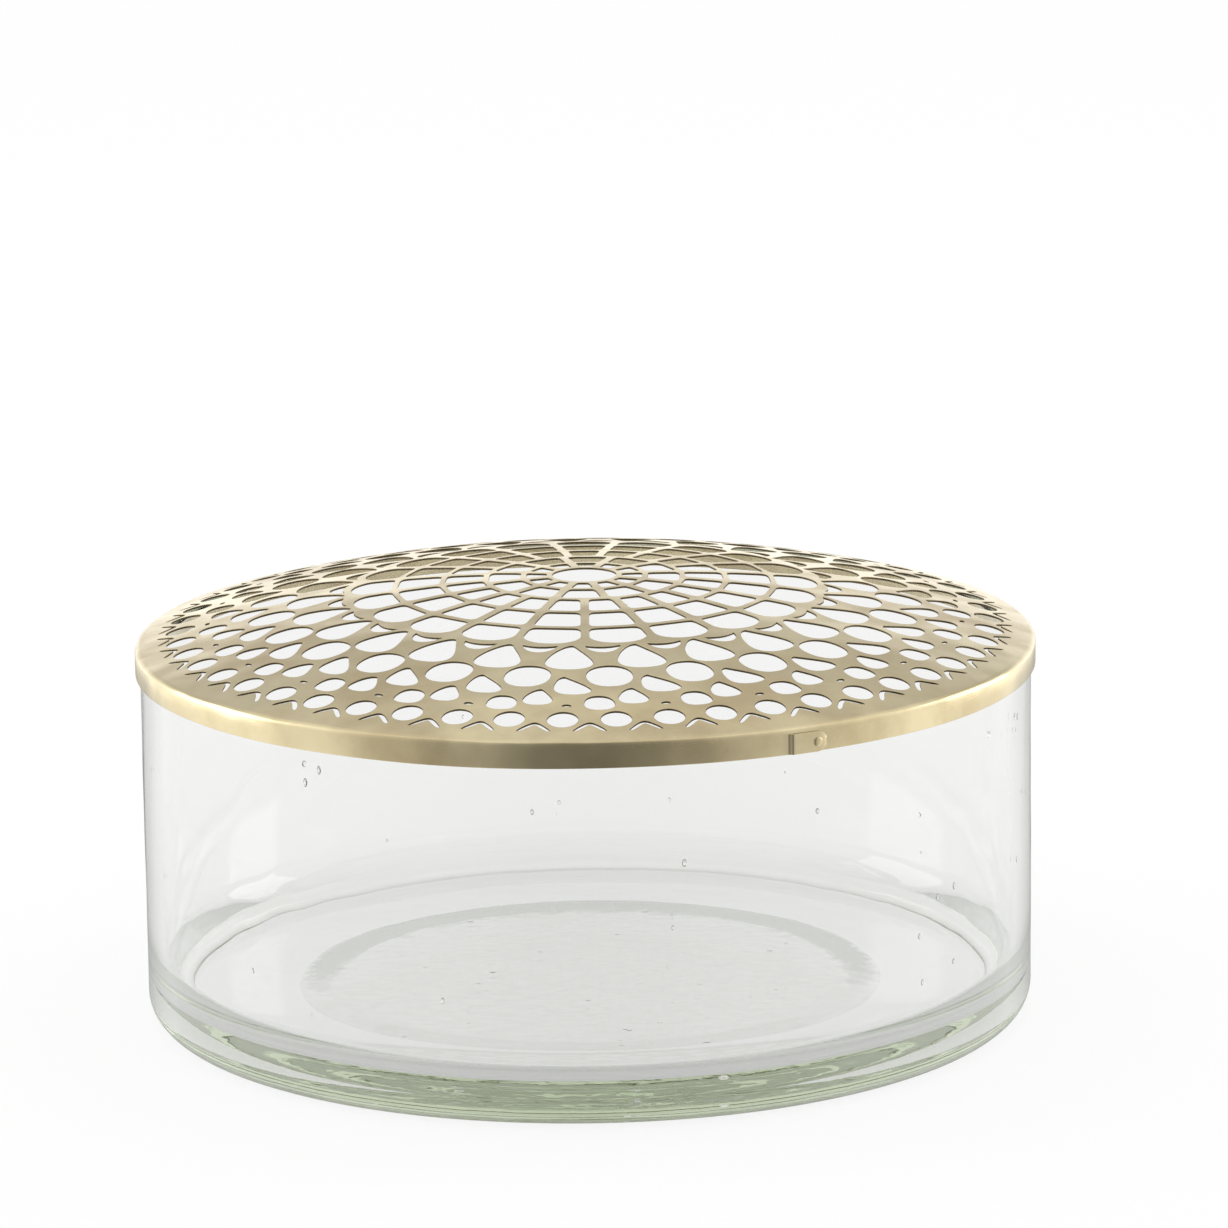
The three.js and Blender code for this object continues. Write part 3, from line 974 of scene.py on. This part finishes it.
@dataclass
class SkirtStrip:
    """The strip bent round under the dome's edge, joggled and lapped over itself at one seam."""

    radius: float
    top: float
    bottom: float
    sheet: float = 0.5 * MM
    seam: float = math.radians(25)
    joggle: float = 1.2 * MM
    lap: float = 8.4 * MM
    lap_gap: float = 0.15 * MM
    start_gap: float = 0.3 * MM
    edge_round: float = 0.2 * MM
    top_round: float = 0.02 * MM
    sway: Waves = ((0.06 * MM, 5, 0, 0), (0.04 * MM, 11, 0, 1))
    run_points: int = 420
    joggle_points: int = 9
    lap_points: int = 14
    end_bend: Pair = (6, 84)
    end_points: int = 14
    top_points: int = 3
    edge_points: int = 5
    finish: SatinBrass = SatinBrass("skirt_brass", brushing=(40, 40, 900))

    @property
    def half(self) -> float:
        """Half the strip's height."""
        return (self.top - self.bottom) / 2

    @property
    def middle(self) -> float:
        """Height of the strip's middle line."""
        return (self.top + self.bottom) / 2

    @property
    def lap_step(self) -> float:
        """Outward step of the lap over the layer under it."""
        return self.sheet + self.lap_gap

    @property
    def lap_start(self) -> float:
        """Angle where the joggle ends and the lap lies flat on the layer under it."""
        return self.seam + self.joggle / self.radius

    @property
    def end_centre(self) -> float:
        """Angle of the centre of the lap's round end."""
        return self.lap_start + (self.lap - self.half) / self.radius

    def section(self) -> Array:
        """Draw the strip's rounded section.

        Returns:
            Rows of depth from the outer face, and height as a share from -1 to 1.
        """
        half, r, t, back = self.half, self.edge_round, self.top_round, -self.sheet
        corners = [
            arc((-t, half - t), t, 0, 90, self.top_points),
            arc((back + t, half - t), t, 90, 180, self.top_points),
            arc((back + r, r - half), r, 180, 270, self.edge_points),
            arc((-r, r - half), r, 270, 360, self.edge_points),
        ]
        return np.concatenate(corners) / (1, half)

    def stations(self) -> tuple[Array, Array, Array]:
        """Lay stations along the strip.

        Returns:
            Angle, outward step and share of the full height at each station.
        """
        lap_start, end_centre = self.lap_start + TURN, self.end_centre + TURN
        start = self.lap_start + self.start_gap / self.radius
        straight = np.linspace(start, self.seam + TURN, self.run_points)
        s = np.linspace(0, 1, self.joggle_points)[1:]
        joggle = self.seam + TURN + s * self.joggle / self.radius
        flat = np.linspace(lap_start, end_centre, self.lap_points)[1:]
        bend = np.radians(np.linspace(*self.end_bend, self.end_points))
        end = end_centre + self.half * np.sin(bend) / self.radius
        angle = np.concatenate([straight, joggle, flat, end])
        step = self.lap_step * np.concatenate([0 * straight, ease(s), 1 + 0 * flat, 1 + 0 * end])
        share = np.ones(len(angle))
        share[-len(bend) :] = np.cos(bend)
        return angle, step, share

    def build(self) -> Object:
        """Make the strip, its section carried round the lid from station to station, and dress it.

        Returns:
            The piece.
        """
        angle, step, share = (values[:, None] for values in self.stations())
        depth, rise = self.section().T
        sway = np.where(rise < 0, waves(self.sway, angle[:, 0], 0)[:, None], 0)
        height = self.middle + self.half * share * rise + sway
        rows = np.concatenate([plan(self.radius + step + depth, angle), height[..., None]], -1)
        vertices = np.concatenate([rows.reshape(-1, 3), rows[:1].mean(1), rows[-1:].mean(1)])
        size, last = len(depth), len(vertices) - 1
        body = quads_to_triangles(grid_quads(len(angle), size, True))[:, ::-1]
        caps = [fan(last - 1, 0, size), fan(last, last - 1 - size, size)[:, ::-1]]
        piece = mesh_object("lid_skirt_strip", vertices, np.concatenate([body, *caps]))
        return dress(piece, self.finish, Body.LID, Slot.BRASS, "lid_skirt")


@dataclass
class SeamRivet:
    """The small rivet that holds the skirt's lap."""

    skirt: SkirtStrip
    head_radius: float = 1.1 * MM
    head_height: float = 0.4 * MM
    fullness: float = 0.8
    head_points: int = 14
    shank_radius: float = 0.6 * MM
    shank_length: float = 1.2 * MM
    columns: int = 40
    finish: SatinBrass = SatinBrass("rivet_brass", brushing=(300, 300, 300))

    def section(self) -> Array:
        """Draw the half section: a straight shank and a low domed head.

        Returns:
            Rows of radius and height.
        """
        t = np.linspace(0, np.pi / 2, self.head_points)
        head = np.stack([self.head_radius * np.cos(t), self.head_height * np.sin(t) ** self.fullness], -1)
        head[-1, 0] = 0
        shank = [(0, -self.shank_length), (self.shank_radius, -self.shank_length), (self.shank_radius, 0)]
        return np.concatenate([shank, head])

    def build(self) -> Object:
        """Make the rivet, turned about the line that points outwards through the lap, and dress it.

        Returns:
            The piece.
        """
        vertices, faces = lathe(self.section(), self.columns)
        sine, cosine = math.sin(self.skirt.end_centre), math.cos(self.skirt.end_centre)
        axes = np.array([(cosine, sine, 0), (0, 0, 1), (sine, -cosine, 0)])
        seat = axes[2] * (self.skirt.radius + self.skirt.lap_step) + axes[1] * self.skirt.middle
        piece = mesh_object("seam_rivet_head", vertices @ axes + seat, faces)
        return dress(piece, self.finish, Body.LID, Slot.BRASS, "seam_rivet")


# Stage


@dataclass(frozen=True)
class StudioCamera:
    """The photograph's camera, fitted to the outlines of the glass and the lid."""

    place: Triple = (0.0, -1.5803, 0.4521)
    pitch: float = math.radians(12.747)
    yaw: float = math.radians(0.249)
    roll: float = math.radians(-0.778)
    focal_pixels: float = 6896.8
    sensor: float = 36.0

    def build(self) -> None:
        """Add the camera and make it the scene's."""
        data = bpy.data.cameras.new("camera")
        data.sensor_width = self.sensor
        data.lens = self.focal_pixels / IMAGE_SIDE * self.sensor
        camera = bpy.data.objects.new("camera", data)
        aim = Matrix.Rotation(-self.yaw, 4, "Z") @ Matrix.Rotation(math.pi / 2 - self.pitch, 4, "X")
        camera.matrix_world = Matrix.Translation(self.place) @ aim @ Matrix.Rotation(self.roll, 4, "Z")
        bpy.context.scene.collection.objects.link(camera)
        bpy.context.scene.camera = camera


@dataclass(frozen=True)
class Lamp:
    """A rectangular area lamp that faces the vase."""

    name: str
    place: Triple
    size: Pair
    power: float
    aim: Triple = (0.0, 0.0, 0.05)

    def build(self) -> None:
        """Add the lamp."""
        data = bpy.data.lights.new(self.name, "AREA")
        data.shape = "RECTANGLE"
        data.size, data.size_y = self.size
        data.energy = self.power
        lamp = bpy.data.objects.new(self.name, data)
        lamp.location = self.place
        lamp.rotation_euler = (Vector(self.aim) - Vector(self.place)).to_track_quat("-Z", "Y").to_euler()
        bpy.context.scene.collection.objects.link(lamp)


@dataclass(frozen=True)
class Studio:
    """A white floor and surround, which glass and metal see dimmer on the camera's side, and two soft lamps.

    The stops of in_mirror_low give a level of white by a ray's direction in plan, from 0 towards the camera's
    side to 1 away from it. Those of in_mirror_high, for rays that rise away from the camera, give it by the
    direction's upward part, from 0 straight down to 1 straight up.
    """

    floor_half: float = 6.0
    floor_points: int = 3
    floor_white: float = 0.93
    glow_seen: float = 0.85
    glow_through_glass: float = 0.55
    seen_through_glass: float = 0.9
    floor_thrown_about: float = 0.68
    surround_thrown_about: float = 1.0
    in_mirror_low: Stops = ((0.0, 0.2), (0.12, 0.63), (0.5, 1.2), (0.88, 1.2), (0.97, 0.55), (1.0, 0.4))
    in_mirror_high: Stops = (
        (0.5, 1.5), (0.6, 1.2), (0.66, 0.85), (0.7, 0.64), (0.735, 0.56),
        (0.77, 0.6), (0.81, 0.72), (0.854, 0.95), (1.0, 0.85),
    )
    low_to_high: Pair = (0.4, 0.45)
    side_to_back: Pair = (0.6, 0.85)
    left_lamp: Lamp = Lamp("left_lamp", (-1.25, 0.35, 0.5), (0.8, 0.9), 4.0)
    right_lamp: Lamp = Lamp("right_lamp", (1.15, 0.5, 0.45), (0.55, 0.8), 3.0)
    bounces: int = 24

    def white(self, graph: Graph, direction: Socket, thrown_about: float) -> tuple[Socket, Socket]:
        """Wire the white of the floor or the surround as a ray sees it.

        Args:
            graph: The graph.
            direction: The ray's direction.
            thrown_about: Level for rays that were both thrown back and let through on their way.

        Returns:
            The white, and a value of 1 for rays that metal or the outer face of the glass threw back.
        """
        level = graph.vector("NORMALIZE", {0: graph.vector("MULTIPLY", {0: direction, 1: (1, 1, 0)})})
        to_back = graph.span(graph.axis(level, "Y"), -1, 1)
        upward = graph.span(graph.axis(direction, "Z"), -1, 1)
        path = graph.node("ShaderNodeLightPath").outputs
        depth = path["Transmission Depth"]
        mirrored = graph.maths("SUBTRACT", path["Is Glossy Ray"], depth, clamp=True)
        both = graph.maths("MULTIPLY", depth, path["Glossy Depth"], clamp=True)
        high, back = graph.span(upward, *self.low_to_high), graph.span(to_back, *self.side_to_back)
        thrown_back = graph.mix(
            graph.maths("MULTIPLY", high, back),
            graph.ramp(to_back, self.in_mirror_low),
            graph.ramp(upward, self.in_mirror_high),
        )
        let_through = graph.mix(depth, grey(1), grey(self.seen_through_glass))
        let_through = graph.mix(both, let_through, grey(thrown_about))
        return graph.mix(mirrored, let_through, thrown_back), mirrored

    def floor(self) -> None:
        """Lay the floor, a grid of two parameters: paper with a part of its white from its own glow."""
        side = np.linspace(-self.floor_half, self.floor_half, self.floor_points)
        x, y = np.meshgrid(side, side)
        vertices = np.stack([x, y, 0 * x], -1).reshape(-1, 3)
        quads = grid_quads(self.floor_points, self.floor_points, False)
        floor = mesh_object("floor", vertices, quads_to_triangles(quads))
        material, graph = new_material("floor_paper")
        path = graph.node("ShaderNodeLightPath").outputs
        incoming = graph.node("ShaderNodeNewGeometry").outputs["Incoming"]
        onward = graph.vector("SCALE", {0: incoming, "Scale": -1})
        white, mirrored = self.white(graph, onward, self.floor_thrown_about)
        behind_glass = graph.maths("MINIMUM", path["Transmission Depth"], 1)
        dimmed = graph.maths("MULTIPLY", behind_glass, self.glow_through_glass)
        seen = graph.maths("MULTIPLY_ADD", path["Is Camera Ray"], self.glow_seen, dimmed)
        share = graph.maths("MAXIMUM", seen, mirrored)
        paper = graph.node("ShaderNodeBsdfDiffuse", {"Color": grey(self.floor_white)})
        glow = graph.node("ShaderNodeEmission", {"Color": white})
        mixed = graph.node("ShaderNodeMixShader", {0: share, 1: paper.outputs[0], 2: glow.outputs[0]})
        graph.node("ShaderNodeOutputMaterial", {"Surface": mixed.outputs[0]})
        floor.data.materials.append(material)

    def surround(self) -> None:
        """Set the world to the surround's white."""
        world = bpy.data.worlds.new("surround")
        world.use_nodes = True
        graph = Graph(world.node_tree)
        direction = graph.node("ShaderNodeTexCoord").outputs["Generated"]
        white, _ = self.white(graph, direction, self.surround_thrown_about)
        background = graph.node("ShaderNodeBackground", {"Color": white})
        graph.node("ShaderNodeOutputWorld", {"Surface": background.outputs[0]})
        bpy.context.scene.world = world

    def build(self) -> None:
        """Make the whole stage."""
        self.floor()
        self.surround()
        self.left_lamp.build()
        self.right_lamp.build()
        scene = bpy.context.scene
        scene.view_settings.view_transform = "Standard"
        scene.cycles.max_bounces = self.bounces
        scene.cycles.glossy_bounces = self.bounces
        scene.cycles.transmission_bounces = self.bounces


def main() -> None:
    """Build the vase around the frame, then the stage, and log each piece's number of triangles."""
    logging.basicConfig(level=logging.INFO, format="%(name)s %(message)s")
    _, vessel_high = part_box("glass_vessel")
    dome_low, dome_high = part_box("lid_dome")
    skirt_low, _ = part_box("lid_skirt")
    fold = dome_low.z + PiercedDome.sheet
    vessel = GlassVessel(radius=vessel_high.x, height=vessel_high.z)
    dome = PiercedDome(radius=dome_high.x, fold_height=fold, rise=dome_high.z - fold)
    skirt = SkirtStrip(radius=dome_high.x, top=fold - dome.turned_down, bottom=skirt_low.z)
    StudioCamera().build()
    for part in (vessel, dome, skirt, SeamRivet(skirt)):
        piece = part.build()
        log.info("%s: %d triangles", piece.name, len(piece.data.polygons))
    Studio().build()


if __name__ == "__main__":
    main()
